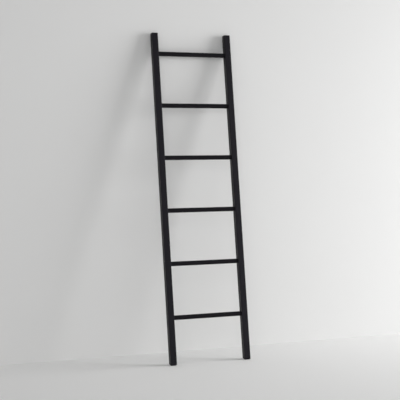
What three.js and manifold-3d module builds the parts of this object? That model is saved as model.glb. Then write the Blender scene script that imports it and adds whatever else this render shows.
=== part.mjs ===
// Leaning blanket ladder: two square rails, round rungs tenoned between them, plugged screws, feet cut
// level on rubber pads, and tops cut plumb with felt pads where they rest on the wall.
// Millimetres, +Z up, +X to the right, +Y towards the wall. The origin is on the floor, midway between
// the rails, and midway between the front of the feet and the wall.

import * as THREE from 'three';
import { mergeVertices } from 'three/addons/utils/BufferGeometryUtils.js';
import Module from 'manifold-3d';

const wasm = await Module();
wasm.setup();

// Overall sizes. Lengths along a rail start where its centreline meets the level cut of its foot.
const OUTER_WIDTH = 460;
const RAIL_LENGTH = 1800;
const LEAN = THREE.MathUtils.degToRad(9.8);

// Rails
const RAIL_SIDE = 34;
const RAIL_EDGE_RADIUS = 2;
const RAIL_END_EASE = 1.5;
const PLUMB_FACE_HEIGHT = 40;

// Rungs
const RUNG_COUNT = 6;
const RUNG_DIAMETER = 25;
const LOWEST_RUNG_ABOVE_FOOT = 246;
const TOP_RUNG_BELOW_TOP = 114;
const TENON_DIAMETER = 16;
const RUNG_EASE = 0.8;

// Screws, and the plugs that hide them
const SCREW_LENGTH = 45;
const SCREW_DIAMETER = 4.5;
const SCREW_POINT_LENGTH = 6;
const SCREW_HEAD_DIAMETER = 8.4;
const SCREW_HEAD_HEIGHT = 3;
const SOCKET_ACROSS = 4;
const SOCKET_DEPTH = 2;
const PLUG_DIAMETER = 10;
const PLUG_LENGTH = 5;
const PLUG_EASE = 0.3;
const SCREWED_WEB = 6;

// Pads
const FOOT_PAD_THICKNESS = 3;
const WALL_PAD_THICKNESS = 1.5;
const WALL_PAD_HEIGHT = 28;
const PAD_INSET = 3;
const PAD_CORNER_RADIUS = 4;
const PAD_EASE = 0.6;

// Clearances
const FIT_GAP = 0.3;
const CUT_OVERRUN = 2;

// Facets
const ROUND_FACETS = 24;
const SCREW_FACETS = 12;
const CORNER_FACETS = 4;
const EASE_FACETS = 2;

// Worked out from the sizes above
const HALF_SIDE = RAIL_SIDE / 2;
const RAIL_CENTRE = OUTER_WIDTH / 2 - HALF_SIDE;
const RAIL_INNER_FACE = RAIL_CENTRE - HALF_SIDE;
const RUNG_PITCH = (RAIL_LENGTH - LOWEST_RUNG_ABOVE_FOOT - TOP_RUNG_BELOW_TOP) / (RUNG_COUNT - 1);
const COUNTERBORE_DEPTH = PLUG_LENGTH + SCREW_HEAD_HEIGHT + 2 * FIT_GAP;
const MORTISE_DEPTH = RAIL_SIDE - COUNTERBORE_DEPTH - SCREWED_WEB;
const RUNG_HALF_LENGTH = RAIL_INNER_FACE - FIT_GAP;
const TENON_END = RUNG_HALF_LENGTH + MORTISE_DEPTH;
const SCREW_SEAT = OUTER_WIDTH / 2 - COUNTERBORE_DEPTH + FIT_GAP;
const PILOT_END = SCREW_SEAT - SCREW_LENGTH - FIT_GAP;
const FOOT_LEVEL = FOOT_PAD_THICKNESS + FIT_GAP;
const PLUMB_CUT_DEPTH = PLUMB_FACE_HEIGHT * Math.sin(LEAN);
const PLUMB_FACE_TOP = RAIL_LENGTH * Math.cos(LEAN) - (HALF_SIDE - PLUMB_CUT_DEPTH) * Math.sin(LEAN);
const FOOT_TO_PLUMB_FACE = RAIL_LENGTH * Math.sin(LEAN) + (HALF_SIDE - PLUMB_CUT_DEPTH) * Math.cos(LEAN);
const FOOT_TO_WALL = FOOT_TO_PLUMB_FACE + FIT_GAP + WALL_PAD_THICKNESS;
const HALF_FOOT_DEPTH = HALF_SIDE / Math.cos(LEAN);
const FOOT_Y = (HALF_FOOT_DEPTH - FOOT_TO_WALL) / 2;

const SIDES = { left: -1, right: 1 };

const finishes = {
  stainedWood: { color: 0x1c1b1d, roughness: 0.5, metalness: 0 },
  zincSteel: { color: 0xb4b6b8, roughness: 0.35, metalness: 1 },
  rubber: { color: 0x141414, roughness: 0.85, metalness: 0 },
  felt: { color: 0x232224, roughness: 1, metalness: 0 },
};

function namedMesh(name, geometry, finish) {
  const mesh = new THREE.Mesh(geometry, new THREE.MeshStandardMaterial(finishes[finish]));
  mesh.name = name;
  return mesh;
}

function toSolid(geometry) {
  const bare = geometry.clone();
  bare.deleteAttribute('normal');
  bare.deleteAttribute('uv');
  const merged = mergeVertices(bare, 1e-4);
  return new wasm.Manifold(new wasm.Mesh({
    numProp: 3,
    vertProperties: new Float32Array(merged.attributes.position.array),
    triVerts: new Uint32Array(merged.index.array),
  }));
}

function toGeometry(solid) {
  const { vertProperties, triVerts } = solid.getMesh();
  const geometry = new THREE.BufferGeometry();
  geometry.setAttribute('position', new THREE.BufferAttribute(vertProperties, 3));
  geometry.setIndex(new THREE.BufferAttribute(triVerts, 1));
  geometry.computeVertexNormals();
  return geometry;
}

function cut(geometry, cutters) {
  let solid = toSolid(geometry);
  for (const cutter of cutters) {
    solid = solid.subtract(toSolid(cutter));
  }
  return toGeometry(solid);
}

function roundedRectangle(width, height, radius) {
  const right = width / 2;
  const top = height / 2;
  const shape = new THREE.Shape();
  shape.moveTo(radius - right, -top);
  shape.absarc(right - radius, radius - top, radius, -Math.PI / 2, 0);
  shape.absarc(right - radius, top - radius, radius, 0, Math.PI / 2);
  shape.absarc(radius - right, top - radius, radius, Math.PI / 2, Math.PI);
  shape.absarc(radius - right, radius - top, radius, Math.PI, 1.5 * Math.PI);
  return shape;
}

// A bar or slab of rounded rectangular section from z = 0 up to its length, both ends eased.
// ExtrudeGeometry draws an arc with twice its curveSegments.
function easedBar(width, depth, length, cornerRadius, ease) {
  const bar = new THREE.ExtrudeGeometry(roundedRectangle(width, depth, cornerRadius), {
    depth: length - 2 * ease,
    curveSegments: CORNER_FACETS / 2,
    bevelThickness: ease,
    bevelSize: ease,
    bevelOffset: -ease,
    bevelSegments: EASE_FACETS,
  });
  return bar.translate(0, 0, ease);
}

// A round piece turned about X from [x, radius] stations, which start and end on the axis.
function turned(stations, facets) {
  const profile = stations.map(([x, radius]) => new THREE.Vector2(radius, x));
  return new THREE.LatheGeometry(profile, facets).rotateZ(-Math.PI / 2);
}

function rungHeight(number) {
  return LOWEST_RUNG_ABOVE_FOOT + (number - 1) * RUNG_PITCH;
}

// The stepped hole for one rung end: mortise, screw hole through the web, then counterbore.
// It is drawn for the right side, from the rail's centreline.
function rungEndHole() {
  const mortise = TENON_DIAMETER / 2 + FIT_GAP;
  const screwHole = SCREW_DIAMETER / 2 + FIT_GAP;
  const counterbore = PLUG_DIAMETER / 2 + FIT_GAP;
  const mortiseEnd = MORTISE_DEPTH - HALF_SIDE;
  const counterboreStart = HALF_SIDE - COUNTERBORE_DEPTH;
  return turned([
    [-HALF_SIDE - CUT_OVERRUN, 0],
    [-HALF_SIDE - CUT_OVERRUN, mortise],
    [mortiseEnd, mortise],
    [mortiseEnd, screwHole],
    [counterboreStart, screwHole],
    [counterboreStart, counterbore],
    [HALF_SIDE + CUT_OVERRUN, counterbore],
    [HALF_SIDE + CUT_OVERRUN, 0],
  ], ROUND_FACETS);
}

// Everything below the level plane through the foot of the centreline.
function belowFoot() {
  const block = new THREE.BoxGeometry(2 * RAIL_SIDE, 2 * RAIL_SIDE, 2 * RAIL_SIDE);
  return block.translate(0, 0, -RAIL_SIDE).rotateX(LEAN);
}

// Everything behind the plumb plane that the top of the rail rests on the wall with.
function behindPlumbFace() {
  const height = 2 * PLUMB_FACE_HEIGHT;
  const block = new THREE.BoxGeometry(2 * RAIL_SIDE, 2 * RAIL_SIDE, height);
  return block.translate(0, FOOT_TO_PLUMB_FACE + RAIL_SIDE, PLUMB_FACE_TOP).rotateX(LEAN);
}

function rail(side) {
  const bar = easedBar(RAIL_SIDE, RAIL_SIDE, RAIL_LENGTH + RAIL_SIDE, RAIL_EDGE_RADIUS, RAIL_END_EASE);
  bar.translate(0, 0, -RAIL_SIDE);
  const cutters = [belowFoot(), behindPlumbFace()];
  for (let number = 1; number <= RUNG_COUNT; number += 1) {
    const hole = rungEndHole();
    hole.rotateZ(SIDES[side] < 0 ? Math.PI : 0);
    cutters.push(hole.translate(0, 0, rungHeight(number)));
  }
  const mesh = namedMesh(`${side}_rail`, cut(bar, cutters), 'stainedWood');
  mesh.position.x = SIDES[side] * RAIL_CENTRE;
  return mesh;
}

// A turned rung with a tenon and a pilot hole at each end.
function rung(number) {
  const body = RUNG_DIAMETER / 2;
  const tenon = TENON_DIAMETER / 2;
  const pilot = SCREW_DIAMETER / 2 + FIT_GAP;
  const rightHalf = [
    [RUNG_HALF_LENGTH - RUNG_EASE, body],
    [RUNG_HALF_LENGTH, body - RUNG_EASE],
    [RUNG_HALF_LENGTH, tenon],
    [TENON_END - RUNG_EASE, tenon],
    [TENON_END, tenon - RUNG_EASE],
    [TENON_END, pilot],
    [PILOT_END, pilot],
    [PILOT_END, 0],
  ];
  const leftHalf = rightHalf.map(([x, radius]) => [-x, radius]).reverse();
  const mesh = namedMesh(`rung_${number}`, turned([...leftHalf, ...rightHalf], ROUND_FACETS), 'stainedWood');
  mesh.position.z = rungHeight(number);
  return mesh;
}

// A screw with a flat-bottomed hexagon-socket head. It points along -X, with its seat at x = 0.
function screw(side, number) {
  const shank = SCREW_DIAMETER / 2;
  const head = SCREW_HEAD_DIAMETER / 2;
  const blank = turned([
    [-SCREW_LENGTH, 0],
    [SCREW_POINT_LENGTH - SCREW_LENGTH, shank],
    [0, shank],
    [0, head],
    [SCREW_HEAD_HEIGHT, head],
    [SCREW_HEAD_HEIGHT, 0],
  ], SCREW_FACETS);
  const socketRadius = SOCKET_ACROSS / Math.sqrt(3);
  const socket = new THREE.CylinderGeometry(socketRadius, socketRadius, 2 * SOCKET_DEPTH, 6);
  socket.rotateZ(Math.PI / 2).translate(SCREW_HEAD_HEIGHT, 0, 0);
  const mesh = namedMesh(`${side}_screw_${number}`, cut(blank, [socket]), 'zincSteel');
  mesh.position.set(SIDES[side] * SCREW_SEAT, 0, rungHeight(number));
  mesh.rotation.z = SIDES[side] < 0 ? Math.PI : 0;
  return mesh;
}

// A plug whose outer face is flush with the rail's.
function plug(side, number) {
  const radius = PLUG_DIAMETER / 2;
  const geometry = turned([
    [-PLUG_LENGTH, 0],
    [-PLUG_LENGTH, radius],
    [-PLUG_EASE, radius],
    [0, radius - PLUG_EASE],
    [0, 0],
  ], ROUND_FACETS);
  const mesh = namedMesh(`${side}_plug_${number}`, geometry, 'stainedWood');
  mesh.position.set(SIDES[side] * OUTER_WIDTH / 2, 0, rungHeight(number));
  mesh.rotation.z = SIDES[side] < 0 ? Math.PI : 0;
  return mesh;
}

// A level pad under the foot cut, inset all round from the rail.
function footPad(side) {
  const width = RAIL_SIDE - 2 * PAD_INSET;
  const depth = 2 * (HALF_FOOT_DEPTH - PAD_INSET);
  const pad = easedBar(width, depth, FOOT_PAD_THICKNESS, PAD_CORNER_RADIUS, PAD_EASE);
  const mesh = namedMesh(`${side}_foot_pad`, pad, 'rubber');
  mesh.position.set(SIDES[side] * RAIL_CENTRE, FOOT_Y, 0);
  return mesh;
}

// A thin felt pad on the plumb face at the top of the rail. Its rear face is the one that meets the wall.
// It stops short of the foot of that face, so that it hardly stands out behind the rail.
function wallPad(side) {
  const width = RAIL_SIDE - 2 * PAD_INSET;
  const pad = easedBar(width, WALL_PAD_HEIGHT, WALL_PAD_THICKNESS, PAD_CORNER_RADIUS, PAD_EASE);
  pad.rotateX(Math.PI / 2);
  const mesh = namedMesh(`${side}_wall_pad`, pad, 'felt');
  const middle = FOOT_LEVEL + PLUMB_FACE_TOP - PLUMB_FACE_HEIGHT / 2;
  mesh.position.set(SIDES[side] * RAIL_CENTRE, FOOT_Y + FOOT_TO_WALL, middle);
  return mesh;
}

function leaningFrame() {
  const frame = new THREE.Group();
  for (const side of Object.keys(SIDES)) {
    frame.add(rail(side));
    for (let number = 1; number <= RUNG_COUNT; number += 1) {
      frame.add(screw(side, number), plug(side, number));
    }
  }
  for (let number = 1; number <= RUNG_COUNT; number += 1) {
    frame.add(rung(number));
  }
  frame.rotation.x = -LEAN;
  frame.position.set(0, FOOT_Y, FOOT_LEVEL);
  return frame;
}

const blanketLadder = new THREE.Group();
blanketLadder.add(leaningFrame());
for (const side of Object.keys(SIDES)) {
  blanketLadder.add(footPad(side), wallPad(side));
}

export default blanketLadder;
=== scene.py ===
import math

import bmesh
import bpy
from mathutils import Matrix, Vector, noise


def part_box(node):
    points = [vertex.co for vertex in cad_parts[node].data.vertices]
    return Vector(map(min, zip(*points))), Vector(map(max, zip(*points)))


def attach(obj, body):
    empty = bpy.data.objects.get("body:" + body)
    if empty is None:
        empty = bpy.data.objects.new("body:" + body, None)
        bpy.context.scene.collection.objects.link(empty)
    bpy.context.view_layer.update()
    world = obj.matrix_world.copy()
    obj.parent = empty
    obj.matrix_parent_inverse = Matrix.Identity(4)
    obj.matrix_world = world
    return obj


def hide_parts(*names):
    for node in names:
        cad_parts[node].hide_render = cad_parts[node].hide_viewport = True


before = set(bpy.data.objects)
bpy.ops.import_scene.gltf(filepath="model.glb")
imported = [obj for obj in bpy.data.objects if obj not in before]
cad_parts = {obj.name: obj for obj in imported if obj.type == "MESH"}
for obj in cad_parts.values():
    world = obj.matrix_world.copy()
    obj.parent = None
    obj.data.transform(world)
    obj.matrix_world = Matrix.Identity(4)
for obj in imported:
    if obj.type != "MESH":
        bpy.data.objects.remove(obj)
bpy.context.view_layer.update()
scene = bpy.context.scene

# ---------------------------------------------------------------------------------------------
# Camera. It stands at chest height in front of the ladder and a little to its left, and looks
# slightly down along a long lens, so that the outer face of the left rail just shows.
# ---------------------------------------------------------------------------------------------
CAMERA_PLACE = Vector((-2.0257, -5.2738, 1.2307))
CAMERA_TURN_RIGHT = math.radians(20.993)
CAMERA_LOOK_DOWN = math.radians(3.6925)
CAMERA_LENS = 93.11
CAMERA_SENSOR = 36
CAMERA_REACH = 60

camera = bpy.data.objects.new("camera", bpy.data.cameras.new("camera"))
camera.data.sensor_width = CAMERA_SENSOR
camera.data.lens = CAMERA_LENS
camera.data.clip_end = CAMERA_REACH
camera.location = CAMERA_PLACE
camera.rotation_euler = (math.radians(90) - CAMERA_LOOK_DOWN, 0, -CAMERA_TURN_RIGHT)
scene.collection.objects.link(camera)
scene.camera = camera

# ---------------------------------------------------------------------------------------------
# Rails. Two straight bars of close-grained hardwood, 34 mm square, with hand-eased edges and
# tops, feet cut level and the top back corner cut plumb. They are drilled for the rungs from the
# inside and for the screws and plugs from the outside, then stained black and lacquered.
# ---------------------------------------------------------------------------------------------
MM = 0.001
RAIL_LENGTH = 1800 * MM
RAIL_EASE = 2.2 * MM
RAIL_TOP_EASE = 1.6 * MM
RAIL_RING_STEP = 12 * MM
ARC_STEPS = 6
HAND_WANDER = 0.09 * MM
HAND_WANDER_SIZE = 70 * MM
DING_DEPTH = 0.35 * MM
DING_SIZE = 9 * MM
DING_RARITY = 0.42
FIT_GAP = 0.3 * MM
FOOT_SHEAR_HEIGHT = 20 * MM
RING_SPACING = 3.2 * MM


def middle(node):
    low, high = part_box(node)
    return (low + high) / 2


rung_names = sorted(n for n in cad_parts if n.startswith("rung_"))
rail_low, rail_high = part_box("left_rail")
rail_half = (rail_high.x - rail_low.x) / 2
rail_axis = (middle(rung_names[-1]) - middle(rung_names[0])).normalized()
rail_tilt = math.atan2(rail_axis.y, rail_axis.z)
foot_level = rail_low.z
foot_point = middle(rung_names[0]) - rail_axis * (middle(rung_names[0]).z - foot_level) / rail_axis.z
plumb_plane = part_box("left_wall_pad")[0].y - FIT_GAP
rung_places = [(middle(n) - foot_point).dot(rail_axis) for n in rung_names]


def leaning(x):
    """The matrix from a rail's own space (Z along it, Y to its back) to the frame."""
    return Matrix.Translation((x, foot_point.y, foot_level)) @ Matrix.Rotation(-rail_tilt, 4, "X")


def wander(place, size, seed):
    """A slow, small offset that stands for planing and sanding by hand."""
    return noise.noise(place / size + Vector((seed, seed * 1.7, 0)))


def ding(place, seed):
    """Sparse small dents, from 0 to 1."""
    return max(0.0, noise.noise(place / DING_SIZE + Vector((0, seed, seed))) - DING_RARITY) / 0.5


def eased_outline(half_x, half_y, radius, steps, flats):
    """Points round a rectangle with round corners, each with 1 on a corner and 0 on a flat."""
    points = []
    corners = ((1, 1), (-1, 1), (-1, -1), (1, -1))
    for number, (sign_x, sign_y) in enumerate(corners):
        centre = Vector((sign_x * (half_x - radius), sign_y * (half_y - radius)))
        for step in range(steps + 1):
            angle = math.radians(90) * (number + step / steps)
            arm = Vector((math.cos(angle), math.sin(angle))) * radius
            points.append((centre + arm, 1.0))
        next_x, next_y = corners[(number + 1) % 4]
        after = Vector((next_x * (half_x - radius), next_y * (half_y - radius)))
        outward = Vector((math.cos(angle), math.sin(angle))) * radius
        for share in flats:
            points.append((centre.lerp(after, share) + outward, 0.0))
    return points


def loft(mesh, rings, wear):
    """Joins rings of points into a closed skin with flat caps, and writes each point's edge wear."""
    layer = mesh.verts.layers.float.new("edge_wear")
    made = []
    for ring in rings:
        verts = [mesh.verts.new(point) for point in ring]
        for vert, worn in zip(verts, wear):
            vert[layer] = worn
        made.append(verts)
    count = len(wear)
    for lower, upper in zip(made, made[1:]):
        for i in range(count):
            j = (i + 1) % count
            mesh.faces.new((lower[i], lower[j], upper[j], upper[i]))
    mesh.faces.new(list(reversed(made[0])))
    mesh.faces.new(made[-1])
    return made


def turned(mesh, stations, segments, matrix):
    """A round body about Z from (place, radius) stations that start and end on the axis."""
    layer = mesh.verts.layers.float.get("edge_wear") or mesh.verts.layers.float.new("edge_wear")
    rings = []
    for station in stations:
        along, radius = station[:2]
        worn = station[2] if len(station) > 2 else 0.0
        if radius == 0:
            verts = [mesh.verts.new(matrix @ Vector((0, 0, along)))]
        else:
            verts = []
            for i in range(segments):
                angle = math.tau * i / segments
                point = Vector((radius * math.cos(angle), radius * math.sin(angle), along))
                verts.append(mesh.verts.new(matrix @ point))
        for vert in verts:
            vert[layer] = worn
        rings.append(verts)
    for lower, upper in zip(rings, rings[1:]):
        for i in range(segments):
            j = (i + 1) % segments
            if len(lower) == 1:
                mesh.faces.new((lower[0], upper[j], upper[i]))
            elif len(upper) == 1:
                mesh.faces.new((lower[i], lower[j], upper[0]))
            else:
                mesh.faces.new((lower[i], lower[j], upper[j], upper[i]))


def to_object(mesh, name, material, crease=35):
    """Makes an object of the bmesh, smooth but for edges sharper than the crease."""
    bmesh.ops.recalc_face_normals(mesh, faces=mesh.faces)
    for face in mesh.faces:
        face.smooth = True
    for edge in mesh.edges:
        edge.smooth = edge.calc_face_angle(math.pi) < math.radians(crease)
    data = bpy.data.meshes.new(name)
    mesh.to_mesh(data)
    mesh.free()
    data.materials.append(material)
    piece = bpy.data.objects.new(name, data)
    scene.collection.objects.link(piece)
    return piece


def node_group(name, inputs, outputs):
    """An empty shader node group with named sockets, and its input and output nodes."""
    group = bpy.data.node_groups.new(name, "ShaderNodeTree")
    for label, kind, value in inputs:
        socket = group.interface.new_socket(label, in_out="INPUT", socket_type=kind)
        if value is not None:
            socket.default_value = value
    for label, kind in outputs:
        group.interface.new_socket(label, in_out="OUTPUT", socket_type=kind)
    return group, group.nodes.new("NodeGroupInput"), group.nodes.new("NodeGroupOutput")


def math_node(tree, operation, a, b=0.5, c=None, clamp=False):
    node = tree.nodes.new("ShaderNodeMath")
    node.operation = operation
    node.use_clamp = clamp
    for socket, value in zip(node.inputs, (a, b, c)):
        if isinstance(value, bpy.types.NodeSocket):
            tree.links.new(value, socket)
        elif value is not None:
            socket.default_value = value
    return node.outputs[0]


def ramp(tree, value, low, high, start=0.0, end=1.0):
    """Maps value from low..high to start..end, held at both ends."""
    node = tree.nodes.new("ShaderNodeMapRange")
    tree.links.new(value, node.inputs["Value"])
    for label, number in (("From Min", low), ("From Max", high), ("To Min", start), ("To Max", end)):
        node.inputs[label].default_value = number
    return node.outputs["Result"]


def noise_node(tree, place, scale, detail=2.0, roughness=0.5, distortion=0.0):
    node = tree.nodes.new("ShaderNodeTexNoise")
    tree.links.new(place, node.inputs["Vector"])
    node.inputs["Scale"].default_value = scale
    node.inputs["Detail"].default_value = detail
    node.inputs["Roughness"].default_value = roughness
    node.inputs["Distortion"].default_value = distortion
    return node.outputs["Fac"]


def stretched(tree, place, x, y, z):
    node = tree.nodes.new("ShaderNodeVectorMath")
    node.operation = "MULTIPLY"
    tree.links.new(place, node.inputs[0])
    node.inputs[1].default_value = (x, y, z)
    return node.outputs["Vector"]


def build_wood_grain():
    """Solid grain along Z: growth rings about a far pith, fibres, and short open pores."""
    group, start, end = node_group(
        "wood_grain",
        [("Place", "NodeSocketVector", None), ("Ring Spacing", "NodeSocketFloat", 0.003)],
        [("Rings", "NodeSocketFloat"), ("Fibres", "NodeSocketFloat"), ("Pores", "NodeSocketFloat")],
    )
    place = start.outputs["Place"]
    bend = noise_node(group, stretched(group, place, 14, 14, 1.6), 1.0, 1.0)
    parts = group.nodes.new("ShaderNodeSeparateXYZ")
    group.links.new(place, parts.inputs[0])
    across = math_node(group, "ADD", parts.outputs["X"], 0.061)
    deep = math_node(group, "ADD", parts.outputs["Y"], 0.083)
    across_squared = math_node(group, "MULTIPLY", across, across)
    squares = math_node(group, "MULTIPLY_ADD", deep, deep, across_squared)
    reach = math_node(group, "SQRT", squares)
    reach = math_node(group, "MULTIPLY_ADD", bend, 0.016, reach)
    turns = math_node(group, "DIVIDE", reach, start.outputs["Ring Spacing"])
    share = math_node(group, "FRACT", turns)
    darkening = ramp(group, share, 0.3, 0.85)
    ring_end = ramp(group, share, 1.0, 0.85)
    rings = math_node(group, "MULTIPLY", darkening, ring_end)
    fibres = noise_node(group, stretched(group, place, 1500, 1500, 26), 1.0, 3.0, 0.62)
    pits = noise_node(group, stretched(group, place, 2300, 2300, 95), 1.0, 1.0, 0.4)
    crowd = math_node(group, "MULTIPLY_ADD", rings, 0.06, pits)
    pores = ramp(group, crowd, 0.66, 0.74)
    group.links.new(rings, end.inputs["Rings"])
    group.links.new(fibres, end.inputs["Fibres"])
    group.links.new(pores, end.inputs["Pores"])
    return group


def build_lacquer_skin():
    """The faint orange peel, haze and fine scuffs of a brushed satin lacquer."""
    group, start, end = node_group(
        "lacquer_skin",
        [("Place", "NodeSocketVector", None), ("Scuffing", "NodeSocketFloat", 0.5)],
        [("Peel", "NodeSocketFloat"), ("Haze", "NodeSocketFloat"), ("Scuffs", "NodeSocketFloat")],
    )
    place = start.outputs["Place"]
    peel = noise_node(group, stretched(group, place, 420, 420, 300), 1.0, 2.0, 0.4)
    haze = noise_node(group, stretched(group, place, 34, 34, 9), 1.0, 4.0, 0.6)
    lines = noise_node(group, stretched(group, place, 260, 900, 130), 1.0, 2.0, 0.55, 1.2)
    patches = ramp(group, noise_node(group, stretched(group, place, 21, 21, 17), 1.0, 2.0), 0.52, 0.68)
    hits = ramp(group, lines, 0.66, 0.72)
    scuffed = math_node(group, "MULTIPLY", patches, start.outputs["Scuffing"])
    scuffs = math_node(group, "MULTIPLY", hits, scuffed)
    group.links.new(peel, end.inputs["Peel"])
    group.links.new(haze, end.inputs["Haze"])
    group.links.new(scuffs, end.inputs["Scuffs"])
    return group


def build_rubbed_edge():
    """Breaks a 0-to-1 edge mask up, so that the finish is thin in patches and not in a line."""
    group, start, end = node_group(
        "rubbed_edge",
        [
            ("Place", "NodeSocketVector", None),
            ("Edge", "NodeSocketFloat", 0.0),
            ("Amount", "NodeSocketFloat", 0.5),
        ],
        [("Rubbed", "NodeSocketFloat")],
    )
    patch = noise_node(group, stretched(group, start.outputs["Place"], 60, 60, 22), 1.0, 5.0, 0.7)
    bare = ramp(group, patch, 0.55, 0.72)
    sharp = ramp(group, start.outputs["Edge"], 0.45, 1.0)
    thinned = math_node(group, "MULTIPLY", bare, start.outputs["Amount"])
    rubbed = math_node(group, "MULTIPLY", sharp, thinned)
    group.links.new(rubbed, end.inputs["Rubbed"])
    return group


wood_grain = build_wood_grain()
lacquer_skin = build_lacquer_skin()
rubbed_edge = build_rubbed_edge()


def use_group(tree, group, **values):
    node = tree.nodes.new("ShaderNodeGroup")
    node.node_tree = group
    for label, value in values.items():
        socket = node.inputs[label.replace("_", " ")]
        if isinstance(value, bpy.types.NodeSocket):
            tree.links.new(value, socket)
        else:
            socket.default_value = value
    return node


def mixed(tree, share, low, high):
    """A colour between low and high, which are colours or sockets."""
    node = tree.nodes.new("ShaderNodeMix")
    node.data_type = "RGBA"
    tree.links.new(share, node.inputs["Factor"])
    for socket, value in ((node.inputs[6], low), (node.inputs[7], high)):
        if isinstance(value, bpy.types.NodeSocket):
            tree.links.new(value, socket)
        else:
            socket.default_value = (*value, 1)
    return node.outputs[2]


def bumped(tree, height, strength, distance, normal=None):
    node = tree.nodes.new("ShaderNodeBump")
    node.inputs["Strength"].default_value = strength
    node.inputs["Distance"].default_value = distance
    tree.links.new(height, node.inputs["Height"])
    if normal is not None:
        tree.links.new(normal, node.inputs["Normal"])
    return node.outputs["Normal"]


def stained_wood(name, grain_turn, stain, pale, sheen_low, sheen_high, gloss, wear):
    """Black-stained, satin-lacquered hardwood. grain_turn turns the frame so the grain runs along Z."""
    material = bpy.data.materials.new(name)
    material.use_nodes = True
    tree = material.node_tree
    shader = tree.nodes["Principled BSDF"]
    spot = tree.nodes.new("ShaderNodeTexCoord")
    turn = tree.nodes.new("ShaderNodeMapping")
    turn.inputs["Rotation"].default_value = grain_turn
    tree.links.new(spot.outputs["Object"], turn.inputs["Vector"])
    place = turn.outputs["Vector"]
    grain = use_group(tree, wood_grain, Place=place, Ring_Spacing=RING_SPACING)
    skin = use_group(tree, lacquer_skin, Place=place, Scuffing=0.6)
    edge = tree.nodes.new("ShaderNodeAttribute")
    edge.attribute_name = "edge_wear"
    rub = use_group(tree, rubbed_edge, Place=place, Edge=edge.outputs["Fac"], Amount=wear)
    fibre_tone = math_node(tree, "MULTIPLY", grain.outputs["Fibres"], 0.55)
    tone = math_node(tree, "MULTIPLY_ADD", grain.outputs["Rings"], 0.3, fibre_tone)
    body = mixed(tree, tone, stain, pale)
    pore_share = math_node(tree, "MULTIPLY", grain.outputs["Pores"], 0.7)
    pored = mixed(tree, pore_share, body, tuple(c * 0.35 for c in stain))
    worn = mixed(tree, rub.outputs["Rubbed"], pored, (0.085, 0.052, 0.034))
    final = mixed(tree, skin.outputs["Scuffs"], worn, (0.05, 0.049, 0.052))
    tree.links.new(final, shader.inputs["Base Color"])
    haze = ramp(tree, skin.outputs["Haze"], 0.3, 0.7, sheen_low, sheen_high)
    rough = math_node(tree, "MULTIPLY_ADD", grain.outputs["Pores"], 0.18, haze)
    rough = math_node(tree, "MULTIPLY_ADD", skin.outputs["Scuffs"], 0.15, rough, clamp=True)
    tree.links.new(rough, shader.inputs["Roughness"])
    shader.inputs["Specular IOR Level"].default_value = gloss
    shader.inputs["Specular Tint"].default_value = (0.95, 0.91, 1.0, 1)
    fine = bumped(tree, skin.outputs["Peel"], 0.35, 0.00004)
    ridges = math_node(tree, "MULTIPLY", grain.outputs["Fibres"], 0.5)
    pits = math_node(tree, "MULTIPLY_ADD", grain.outputs["Pores"], -1.0, ridges)
    relief = bumped(tree, pits, 0.6, 0.00009, fine)
    tree.links.new(relief, shader.inputs["Normal"])
    return material


rail_wood = stained_wood(
    "rail_wood",
    grain_turn=(rail_tilt, 0, 0),
    stain=(0.0078, 0.0071, 0.0094),
    pale=(0.0172, 0.0158, 0.0206),
    sheen_low=0.37,
    sheen_high=0.52,
    gloss=0.15,
    wear=0.5,
)


def rail_rings(side_sign, outline):
    """Rings of points up one rail: level at the foot, plumb behind the top, eased at the end."""
    back_limit = (plumb_plane - foot_point.y - rail_half * rail_axis.z) / rail_axis.y
    eased = [(RAIL_TOP_EASE * (1 - math.sin(a)), RAIL_TOP_EASE * (1 - math.cos(a)))
             for a in (math.radians(18 * k) for k in range(6))]
    places = [0.0, 0.2 * MM, 0.6 * MM, 1.2 * MM, 4 * MM, 8 * MM]
    stop = RAIL_LENGTH - RAIL_TOP_EASE - 3 * MM
    count = round((stop - FOOT_SHEAR_HEIGHT) / RAIL_RING_STEP)
    places += [FOOT_SHEAR_HEIGHT + (stop - FOOT_SHEAR_HEIGHT) * k / count for k in range(count + 1)]
    places = sorted(places + [back_limit, back_limit + 0.8 * MM, back_limit - 0.8 * MM])
    insets = {0.0: 1.2 * MM, 0.2 * MM: 0.65 * MM, 0.6 * MM: 0.2 * MM}
    levels = [(t, insets.get(t, 0.0)) for t in places]
    levels += [(RAIL_LENGTH - drop, inset) for drop, inset in eased]
    rings = []
    for along, inset in levels:
        ring = []
        shear = max(0.0, 1 - along / FOOT_SHEAR_HEIGHT)
        for point, corner in outline:
            x, y = point
            place = Vector((x, y, along))
            grow = HAND_WANDER * wander(place, HAND_WANDER_SIZE, 3 + side_sign)
            grow -= DING_DEPTH * corner * ding(place, 5 + side_sign)
            grow -= inset
            x += grow * max(-1, min(1, x / (rail_half - RAIL_EASE)))
            y += grow * max(-1, min(1, y / (rail_half - RAIL_EASE)))
            lift = shear * y * math.tan(rail_tilt)
            furthest = (plumb_plane - foot_point.y - along * rail_axis.y) / rail_axis.z
            ring.append(Vector((x, min(y, furthest), along + lift)))
        rings.append(ring)
    return rings


# The stepped hole that takes a rung's tenon from the inside and a screw and its plug from outside.
TENON_RADIUS = 8 * MM
MORTISE_RADIUS = 8.3 * MM
SCREW_HOLE_RADIUS = 2.55 * MM
COUNTERBORE_RADIUS = 5.15 * MM
COUNTERBORE_DEPTH = 8.6 * MM
SCREWED_WEB = 6 * MM
MORTISE_DEPTH = 2 * rail_half - COUNTERBORE_DEPTH - SCREWED_WEB
HOLE_SEGMENTS = 48
CUT_OVERRUN = 2 * MM


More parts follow.
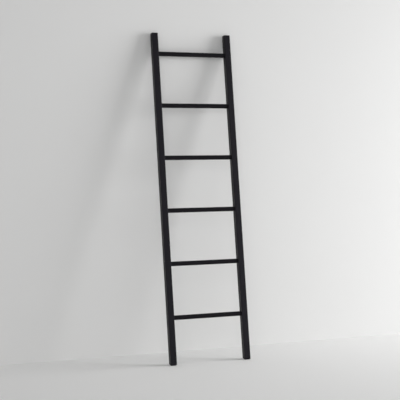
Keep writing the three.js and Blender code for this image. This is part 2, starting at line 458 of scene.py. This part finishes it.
def rung_end_holes(side_sign, x):
    cutter = bmesh.new()
    for place in rung_places:
        aim = Matrix.Translation((0, 0, place)) @ Matrix.Rotation(side_sign * math.radians(90), 4, "Y")
        turned(cutter, [
            (-rail_half - CUT_OVERRUN, 0),
            (-rail_half - CUT_OVERRUN, MORTISE_RADIUS),
            (MORTISE_DEPTH - rail_half, MORTISE_RADIUS),
            (MORTISE_DEPTH - rail_half, SCREW_HOLE_RADIUS),
            (rail_half - COUNTERBORE_DEPTH, SCREW_HOLE_RADIUS),
            (rail_half - COUNTERBORE_DEPTH, COUNTERBORE_RADIUS),
            (rail_half + CUT_OVERRUN, COUNTERBORE_RADIUS),
            (rail_half + CUT_OVERRUN, 0),
        ], HOLE_SEGMENTS, leaning(x) @ aim)
    return to_object(cutter, "hole_cutter", rail_wood)


def bored(piece, cutter):
    """Cuts the holes, keeps the edges that are left sharp, and drops the cutter."""
    cut = piece.modifiers.new("holes", "BOOLEAN")
    cut.operation = "DIFFERENCE"
    cut.solver = "EXACT"
    cut.object = cutter
    graph = bpy.context.evaluated_depsgraph_get()
    made = bpy.data.meshes.new_from_object(piece.evaluated_get(graph))
    piece.modifiers.clear()
    piece.data = made
    bpy.data.objects.remove(cutter)
    tidy = bmesh.new()
    tidy.from_mesh(made)
    bmesh.ops.remove_doubles(tidy, verts=tidy.verts, dist=0.002 * MM)
    for face in tidy.faces:
        face.smooth = True
    for edge in tidy.edges:
        edge.smooth = edge.calc_face_angle(math.pi) < math.radians(35)
    tidy.to_mesh(made)
    tidy.free()


def rail(side, side_sign):
    flats = (0.035, 0.2, 0.4, 0.6, 0.8, 0.965)
    outline = eased_outline(rail_half, rail_half, RAIL_EASE, ARC_STEPS, flats)
    x = middle(f"{side}_rail").x
    mesh = bmesh.new()
    rings = rail_rings(side_sign, outline)
    loft(mesh, [[leaning(x) @ point for point in ring] for ring in rings], [c for _, c in outline])
    bmesh.ops.remove_doubles(mesh, verts=mesh.verts, dist=0.01 * MM)
    piece = to_object(mesh, f"stained_{side}_rail", rail_wood)
    bored(piece, rung_end_holes(side_sign, x))
    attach(piece, "root")
    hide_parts(f"{side}_rail")


SIDES = (("left", -1), ("right", 1))
for side, side_sign in SIDES:
    rail(side, side_sign)

# ---------------------------------------------------------------------------------------------
# Rungs. Round hardwood dowels, 25 mm thick, turned down at each end to a tenon that is glued in
# the rail's mortise. The lacquer has crept up a little where each shoulder meets its rail.
# ---------------------------------------------------------------------------------------------
RUNG_RADIUS = 12.5 * MM
RUNG_SEGMENTS = 56
RUNG_WANDER = 0.07 * MM
RUNG_WANDER_SIZE = 55 * MM
RUNG_BODY_STEPS = 44
TENON_EASE = 0.8 * MM
PILOT_RADIUS = 2.55 * MM
PILOT_DEPTH = 38.9 * MM
FILLET = 0.55 * MM

rung_wood = stained_wood(
    "rung_wood",
    grain_turn=(0, math.radians(90), 0),
    stain=(0.0046, 0.0043, 0.0054),
    pale=(0.0104, 0.0096, 0.0121),
    sheen_low=0.36,
    sheen_high=0.48,
    gloss=0.13,
    wear=0.25,
)
rail_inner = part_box("right_rail")[0].x


def rung(name):
    low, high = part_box(name)
    centre = (low + high) / 2
    tenon_end = high.x
    shoulder = rail_inner - 0.03 * MM
    half = [(0.0, RUNG_RADIUS)]
    for k in range(1, RUNG_BODY_STEPS + 1):
        half.append(((shoulder - 2 * MM) * k / RUNG_BODY_STEPS, RUNG_RADIUS))
    for k in range(1, 6):
        angle = math.radians(90) * k / 5
        place = shoulder - FILLET * (1 - math.sin(angle))
        half.append((place, RUNG_RADIUS + FILLET * (1 - math.cos(angle))))
    half += [
        (shoulder, TENON_RADIUS + 0.4 * MM),
        (shoulder + 0.4 * MM, TENON_RADIUS),
        (tenon_end - TENON_EASE, TENON_RADIUS),
        (tenon_end, TENON_RADIUS - TENON_EASE),
        (tenon_end, PILOT_RADIUS),
        (tenon_end - PILOT_DEPTH, PILOT_RADIUS),
        (tenon_end - PILOT_DEPTH, 0.0),
    ]
    stations = [(-x, radius) for x, radius in reversed(half[1:])] + half
    mesh = bmesh.new()
    aim = Matrix.Translation(centre) @ Matrix.Rotation(math.radians(90), 4, "Y")
    turned(mesh, stations, RUNG_SEGMENTS, aim)
    for vert in mesh.verts:
        arm = Vector((0, vert.co.y - centre.y, vert.co.z - centre.z))
        if arm.length > RUNG_RADIUS - 0.01 * MM and abs(vert.co.x) < shoulder - 1 * MM:
            vert.co += arm.normalized() * RUNG_WANDER * wander(vert.co, RUNG_WANDER_SIZE, 9)
    piece = to_object(mesh, f"stained_{name}", rung_wood)
    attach(piece, "root")
    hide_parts(name)


for name in rung_names:
    rung(name)

# ---------------------------------------------------------------------------------------------
# Screws. Zinc-plated steel wood screws with a low round head and a hex socket, one driven from
# each side through the rail into each rung's end. They sit in their counterbores, under the plugs.
# ---------------------------------------------------------------------------------------------
SCREW_SEGMENTS = 24
HEAD_RADIUS = 4.2 * MM
HEAD_HEIGHT = 3 * MM
SOCKET_ACROSS = 4 * MM
SOCKET_DEPTH = 2 * MM
SHANK_RADIUS = 2.0 * MM
THREAD_RADIUS = 2.25 * MM
THREAD_CORE = 1.55 * MM
THREAD_PITCH = 2.0 * MM
THREAD_STEPS = 8
PLAIN_SHANK = 8 * MM
POINT_LENGTH = 7 * MM


def zinc_plate():
    material = bpy.data.materials.new("zinc_plate")
    material.use_nodes = True
    tree = material.node_tree
    shader = tree.nodes["Principled BSDF"]
    spot = tree.nodes.new("ShaderNodeTexCoord")
    place = spot.outputs["Object"]
    grain = noise_node(tree, stretched(tree, place, 260, 2600, 2600), 1.0, 3.0, 0.6)
    cloud = noise_node(tree, stretched(tree, place, 300, 300, 300), 1.0, 3.0, 0.5)
    tree.links.new(mixed(tree, cloud, (0.50, 0.53, 0.57), (0.68, 0.67, 0.62)), shader.inputs["Base Color"])
    tree.links.new(ramp(tree, grain, 0.3, 0.7, 0.24, 0.42), shader.inputs["Roughness"])
    tree.links.new(bumped(tree, grain, 0.3, 0.00002), shader.inputs["Normal"])
    shader.inputs["Metallic"].default_value = 1.0
    return material


zinc = zinc_plate()


def screw_rings(length):
    """Rings of a screw from its socket's floor to its point. The head's top is at 0."""
    def ring(height, radius):
        points = []
        for i in range(SCREW_SEGMENTS):
            angle = math.tau * i / SCREW_SEGMENTS
            points.append(Vector((radius * math.cos(angle), radius * math.sin(angle), height)))
        return points

    def hexagon(height, across):
        points = []
        for i in range(SCREW_SEGMENTS):
            angle = math.tau * i / SCREW_SEGMENTS
            from_flat = (angle + math.pi / 6) % (math.pi / 3) - math.pi / 6
            reach = across / 2 / math.cos(from_flat)
            points.append(Vector((reach * math.cos(angle), reach * math.sin(angle), height)))
        return points

    rings = [hexagon(SOCKET_DEPTH, SOCKET_ACROSS), hexagon(0.25 * MM, SOCKET_ACROSS)]
    rings.append(hexagon(0.0, SOCKET_ACROSS + 0.5 * MM))
    rings += [ring(0.0, HEAD_RADIUS - 0.7 * MM), ring(0.15 * MM, HEAD_RADIUS - 0.3 * MM)]
    rings += [ring(0.5 * MM, HEAD_RADIUS), ring(HEAD_HEIGHT - 0.25 * MM, HEAD_RADIUS)]
    rings += [ring(HEAD_HEIGHT, HEAD_RADIUS - 0.25 * MM), ring(HEAD_HEIGHT, SHANK_RADIUS + 0.15 * MM)]
    rings += [ring(HEAD_HEIGHT + 0.3 * MM, SHANK_RADIUS), ring(HEAD_HEIGHT + PLAIN_SHANK, SHANK_RADIUS)]
    start = HEAD_HEIGHT + PLAIN_SHANK + 0.4 * MM
    step = THREAD_PITCH / THREAD_STEPS
    count = int((length - 0.3 * MM - start) / step)
    for k in range(count + 1):
        height = start + k * step
        taper = min(1.0, (length - height) / POINT_LENGTH)
        fade = min(1.0, k / THREAD_STEPS)
        points = []
        for i in range(SCREW_SEGMENTS):
            turn = (height / THREAD_PITCH - i / SCREW_SEGMENTS) % 1
            crest = max(0.0, 1 - abs(turn - 0.5) / 0.24) * fade
            radius = (THREAD_CORE + (THREAD_RADIUS - THREAD_CORE) * crest) * taper
            angle = math.tau * i / SCREW_SEGMENTS
            points.append(Vector((radius * math.cos(angle), radius * math.sin(angle), height)))
        rings.append(points)
    return rings


def screw(name, side_sign):
    low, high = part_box(name)
    centre = (low + high) / 2
    outer = high.x if side_sign > 0 else low.x
    inwards = Matrix.Rotation(-side_sign * math.radians(90), 4, "Y")
    aim = Matrix.Translation((outer, centre.y, centre.z)) @ inwards
    mesh = bmesh.new()
    made = []
    for ring in screw_rings(high.x - low.x):
        made.append([mesh.verts.new(aim @ point) for point in ring])
    for lower, upper in zip(made, made[1:]):
        for i in range(SCREW_SEGMENTS):
            j = (i + 1) % SCREW_SEGMENTS
            mesh.faces.new((lower[i], lower[j], upper[j], upper[i]))
    mesh.faces.new(made[0])
    tip = mesh.verts.new(aim @ Vector((0, 0, high.x - low.x)))
    for i in range(SCREW_SEGMENTS):
        mesh.faces.new((made[-1][i], made[-1][(i + 1) % SCREW_SEGMENTS], tip))
    piece = to_object(mesh, f"zinc_{name}", zinc)
    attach(piece, "root")
    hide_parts(name)


for name in sorted(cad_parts):
    if "_screw_" in name:
        screw(name, -1 if name.startswith("left") else 1)

# ---------------------------------------------------------------------------------------------
# Plugs. Face-grain wooden plugs tapped in over the screws, sanded flush with the rail's outer
# face and stained with it, so that only a hairline ring shows.
# ---------------------------------------------------------------------------------------------
PLUG_RADIUS = 5 * MM
PLUG_SEGMENTS = 48

plug_wood = stained_wood(
    "plug_wood",
    grain_turn=(rail_tilt, 0, math.radians(3)),
    stain=(0.0070, 0.0064, 0.0084),
    pale=(0.0155, 0.0142, 0.0185),
    sheen_low=0.38,
    sheen_high=0.52,
    gloss=0.15,
    wear=0.3,
)


def plug(name, side_sign):
    low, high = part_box(name)
    centre = (low + high) / 2
    outer = high.x if side_sign > 0 else low.x
    length = high.x - low.x
    outwards = Matrix.Rotation(side_sign * math.radians(90), 4, "Y")
    aim = Matrix.Translation((outer, centre.y, centre.z)) @ outwards
    mesh = bmesh.new()
    turned(mesh, [
        (-length, 0),
        (-length, PLUG_RADIUS - 0.3 * MM),
        (0.3 * MM - length, PLUG_RADIUS),
        (-0.35 * MM, PLUG_RADIUS, 1.0),
        (-0.15 * MM, PLUG_RADIUS - 0.08 * MM, 1.0),
        (-0.05 * MM, PLUG_RADIUS - 0.28 * MM, 0.6),
        (-0.02 * MM, PLUG_RADIUS - 1.2 * MM),
        (0, PLUG_RADIUS * 0.4),
        (0, 0),
    ], PLUG_SEGMENTS, aim)
    piece = to_object(mesh, f"stained_{name}", plug_wood)
    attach(piece, "root")
    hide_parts(name)


for name in sorted(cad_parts):
    if "_plug_" in name:
        plug(name, -1 if name.startswith("left") else 1)

# ---------------------------------------------------------------------------------------------
# Foot pads. Moulded black rubber, glued under the level cut of each foot, a little smaller than
# the foot so that they don't show from standing height. The weight makes their sides bulge.
# ---------------------------------------------------------------------------------------------
PAD_CORNER = 4 * MM
FOOT_PAD_EASE = 0.5 * MM
FOOT_PAD_BULGE = 0.22 * MM


def pad_profile(thickness, ease, bulge):
    """A soft pad's side from its lower rim to its upper one, as (height, growth of the outline)."""
    profile = []
    for k in range(5):
        angle = math.radians(22.5 * k)
        profile.append((ease * (1 - math.cos(angle)), -ease * (1 - math.sin(angle))))
    for k in range(1, 8):
        share = k / 8
        profile.append((ease + (thickness - 2 * ease) * share, bulge * math.sin(math.pi * share)))
    profile += [(thickness - height, grow) for height, grow in reversed(profile[:5])]
    return profile


def rubber():
    material = bpy.data.materials.new("moulded_rubber")
    material.use_nodes = True
    tree = material.node_tree
    shader = tree.nodes["Principled BSDF"]
    spot = tree.nodes.new("ShaderNodeTexCoord")
    place = spot.outputs["Object"]
    speckle = noise_node(tree, stretched(tree, place, 1800, 1800, 1800), 1.0, 3.0, 0.6)
    dust = noise_node(tree, stretched(tree, place, 160, 160, 420), 1.0, 5.0, 0.65)
    parts = tree.nodes.new("ShaderNodeSeparateXYZ")
    tree.links.new(place, parts.inputs[0])
    low_rim = ramp(tree, parts.outputs["Z"], 0.0015, 0.0, 0.0, 1.0)
    dusty = math_node(tree, "MULTIPLY", ramp(tree, dust, 0.48, 0.66), low_rim)
    base = mixed(tree, speckle, (0.006, 0.006, 0.0062), (0.017, 0.0165, 0.016))
    final = mixed(tree, math_node(tree, "MULTIPLY", dusty, 0.6), base, (0.16, 0.155, 0.145))
    tree.links.new(final, shader.inputs["Base Color"])
    tree.links.new(ramp(tree, speckle, 0.3, 0.7, 0.68, 0.88), shader.inputs["Roughness"])
    tree.links.new(bumped(tree, speckle, 0.5, 0.00006), shader.inputs["Normal"])
    shader.inputs["Specular IOR Level"].default_value = 0.3
    return material


rubber_material = rubber()


def foot_pad(side):
    low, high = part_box(f"{side}_foot_pad")
    centre = (low + high) / 2
    half_x = (high.x - low.x) / 2
    half_y = (high.y - low.y) / 2
    thickness = foot_level - 0.02 * MM
    outline = eased_outline(half_x, half_y, PAD_CORNER, 8, (0.25, 0.5, 0.75))
    rings = []
    for height, grow in pad_profile(thickness, FOOT_PAD_EASE, FOOT_PAD_BULGE):
        ring = []
        for point, _ in outline:
            out = Vector((point.x / half_x, point.y / half_y))
            spot = point + out.normalized() * grow
            ring.append(Vector((centre.x + spot.x, centre.y + spot.y, height)))
        rings.append(ring)
    mesh = bmesh.new()
    loft(mesh, rings, [0.0] * len(outline))
    piece = to_object(mesh, f"rubber_{side}_foot_pad", rubber_material)
    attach(piece, "root")
    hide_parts(f"{side}_foot_pad")


for side, _ in SIDES:
    foot_pad(side)

# ---------------------------------------------------------------------------------------------
# Wall pads. Thin pressed charcoal wool felt, stuck to the plumb face behind the top of each rail,
# so that the ladder rests on the wall without marking it. The cut edge is slightly fuzzy.
# ---------------------------------------------------------------------------------------------
WALL_PAD_EASE = 0.35 * MM
WALL_PAD_BULGE = 0.08 * MM
FUZZ = 0.16 * MM
FUZZ_SIZE = 1.3 * MM
CUT_WOBBLE = 0.1 * MM
CUT_WOBBLE_SIZE = 5 * MM


def felt():
    material = bpy.data.materials.new("wool_felt")
    material.use_nodes = True
    tree = material.node_tree
    shader = tree.nodes["Principled BSDF"]
    spot = tree.nodes.new("ShaderNodeTexCoord")
    place = spot.outputs["Object"]
    fibres = noise_node(tree, stretched(tree, place, 700, 700, 700), 1.0, 6.0, 0.75, 2.5)
    clumps = noise_node(tree, stretched(tree, place, 240, 240, 240), 1.0, 3.0, 0.6)
    hairs = noise_node(tree, stretched(tree, place, 1500, 420, 1100), 1.0, 2.0, 0.6, 1.5)
    flecks = ramp(tree, hairs, 0.62, 0.7)
    base = mixed(tree, fibres, (0.012, 0.012, 0.013), (0.055, 0.053, 0.055))
    final = mixed(tree, math_node(tree, "MULTIPLY", flecks, 0.35), base, (0.16, 0.155, 0.15))
    tree.links.new(final, shader.inputs["Base Color"])
    tree.links.new(ramp(tree, clumps, 0.3, 0.7, 0.86, 1.0), shader.inputs["Roughness"])
    tree.links.new(bumped(tree, fibres, 0.9, 0.00025), shader.inputs["Normal"])
    shader.inputs["Sheen Weight"].default_value = 0.25
    shader.inputs["Sheen Roughness"].default_value = 0.5
    shader.inputs["Specular IOR Level"].default_value = 0.15
    return material


felt_material = felt()


def wall_pad(side):
    low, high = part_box(f"{side}_wall_pad")
    centre = (low + high) / 2
    half_x = (high.x - low.x) / 2
    half_z = (high.z - low.z) / 2
    thickness = high.y - plumb_plane - 0.04 * MM
    outline = eased_outline(half_x, half_z, PAD_CORNER, 8, tuple(k / 14 for k in range(1, 14)))
    rings = []
    for depth, grow in pad_profile(thickness, WALL_PAD_EASE, WALL_PAD_BULGE):
        ring = []
        for point, _ in outline:
            out = Vector((point.x / half_x, point.y / half_z))
            place = Vector((point.x, depth * 2, point.y))
            fuzz = FUZZ * wander(place, FUZZ_SIZE, 4) + CUT_WOBBLE * wander(place, CUT_WOBBLE_SIZE, 7)
            spot = point + out.normalized() * (grow - 0.15 * MM + fuzz)
            ring.append(Vector((centre.x + spot.x, high.y - depth, centre.z + spot.y)))
        rings.append(ring)
    mesh = bmesh.new()
    loft(mesh, rings, [0.0] * len(outline))
    piece = to_object(mesh, f"felt_{side}_wall_pad", felt_material)
    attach(piece, "root")
    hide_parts(f"{side}_wall_pad")


for side, _ in SIDES:
    wall_pad(side)

# ---------------------------------------------------------------------------------------------
# Floor and wall. A plain pale floor that the feet stand on, and a plain pale wall that the top
# rests on. Both fade out into the pale surround, and the wall is clear from behind. Neither is
# part of the ladder.
# ---------------------------------------------------------------------------------------------
ROOM_REACH = 8.0
WALL_HEIGHT = 6.0
WALL_MIDDLE = 0.9
PALE_PAINT = (0.80, 0.80, 0.795)


def painted(name, tone, middle_point, solid_to, gone_at, clear_behind):
    material = bpy.data.materials.new(name)
    material.use_nodes = True
    tree = material.node_tree
    shader = tree.nodes["Principled BSDF"]
    spot = tree.nodes.new("ShaderNodeTexCoord")
    place = spot.outputs["Object"]
    cloud = noise_node(tree, stretched(tree, place, 1.1, 1.1, 1.1), 1.0, 4.0, 0.5)
    darker = tuple(c * 0.985 for c in tone)
    tree.links.new(mixed(tree, cloud, darker, tone), shader.inputs["Base Color"])
    tree.links.new(ramp(tree, cloud, 0.3, 0.7, 0.85, 0.95), shader.inputs["Roughness"])
    shader.inputs["Specular IOR Level"].default_value = 0.1
    reach = tree.nodes.new("ShaderNodeVectorMath")
    reach.operation = "DISTANCE"
    tree.links.new(place, reach.inputs[0])
    reach.inputs[1].default_value = middle_point
    gone = ramp(tree, reach.outputs["Value"], solid_to, gone_at)
    gone.node.interpolation_type = "SMOOTHSTEP"
    if clear_behind:
        side = tree.nodes.new("ShaderNodeNewGeometry")
        gone = math_node(tree, "MAXIMUM", gone, side.outputs["Backfacing"])
    clear = tree.nodes.new("ShaderNodeBsdfTransparent")
    mix = tree.nodes.new("ShaderNodeMixShader")
    tree.links.new(gone, mix.inputs["Fac"])
    tree.links.new(shader.outputs[0], mix.inputs[1])
    tree.links.new(clear.outputs[0], mix.inputs[2])
    tree.links.new(mix.outputs[0], tree.nodes["Material Output"].inputs["Surface"])
    return material


def plane(name, corners, material):
    mesh = bmesh.new()
    mesh.faces.new([mesh.verts.new(corner) for corner in corners])
    data = bpy.data.meshes.new(name)
    mesh.to_mesh(data)
    mesh.free()
    data.materials.append(material)
    made = bpy.data.objects.new(name, data)
    scene.collection.objects.link(made)


far = ROOM_REACH
wall_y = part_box("left_wall_pad")[1].y
floor_paint = painted("floor_paint", PALE_PAINT, (0, 0, 0), 3.2, 7.0, False)
wall_paint = painted("wall_paint", PALE_PAINT, (0, wall_y, WALL_MIDDLE), 2.0, 4.6, True)
plane("floor", [(-far, -far, 0), (far, -far, 0), (far, far, 0), (-far, far, 0)], floor_paint)
plane("wall", [
    (-far, wall_y, 0),
    (far, wall_y, 0),
    (far, wall_y, WALL_HEIGHT),
    (-far, wall_y, WALL_HEIGHT),
], wall_paint)

# ---------------------------------------------------------------------------------------------
# Light. A large soft lamp at chest height far to the right, nearly along the wall, draws the long
# shadows. A fainter one high in front, and an even pale surround, fill them.
# ---------------------------------------------------------------------------------------------
KEY_PLACE = Vector((5.36, -1.24, 1.6))
KEY_AIM = Vector((0.5, 0, 1.0))
KEY_SIZE = 3.0
KEY_POWER = 124
KEY_SPREAD = 100
FRONT_PLACE = Vector((-2.9, -6.6, 3.1))
FRONT_AIM = Vector((0, 0, 0.9))
FRONT_SIZE = 3.2
FRONT_POWER = 47
FRONT_SPREAD = 150
SURROUND_LEVEL = 0.375
BACKDROP_LEVEL = 0.55


def soft_light(name, place, aim, size, power, spread):
    lamp = bpy.data.lights.new(name, "AREA")
    lamp.shape = "SQUARE"
    lamp.size = size
    lamp.energy = power
    lamp.spread = math.radians(spread)
    made = bpy.data.objects.new(name, lamp)
    made.location = place
    made.rotation_euler = (aim - place).to_track_quat("-Z", "Y").to_euler()
    made.visible_camera = False
    scene.collection.objects.link(made)


soft_light("key", KEY_PLACE, KEY_AIM, KEY_SIZE, KEY_POWER, KEY_SPREAD)
soft_light("front", FRONT_PLACE, FRONT_AIM, FRONT_SIZE, FRONT_POWER, FRONT_SPREAD)

world = bpy.data.worlds.new("studio")
scene.world = world
world.use_nodes = True
sky = world.node_tree
surround = sky.nodes["Background"]
surround.inputs["Color"].default_value = (1, 1, 1, 1)
surround.inputs["Strength"].default_value = SURROUND_LEVEL
backdrop = sky.nodes.new("ShaderNodeBackground")
backdrop.inputs["Color"].default_value = (1, 1, 0.99, 1)
backdrop.inputs["Strength"].default_value = BACKDROP_LEVEL
seen = sky.nodes.new("ShaderNodeLightPath")
either = sky.nodes.new("ShaderNodeMixShader")
sky.links.new(seen.outputs["Is Camera Ray"], either.inputs["Fac"])
sky.links.new(surround.outputs[0], either.inputs[1])
sky.links.new(backdrop.outputs[0], either.inputs[2])
sky.links.new(either.outputs[0], sky.nodes["World Output"].inputs["Surface"])
scene.view_settings.view_transform = "Standard"
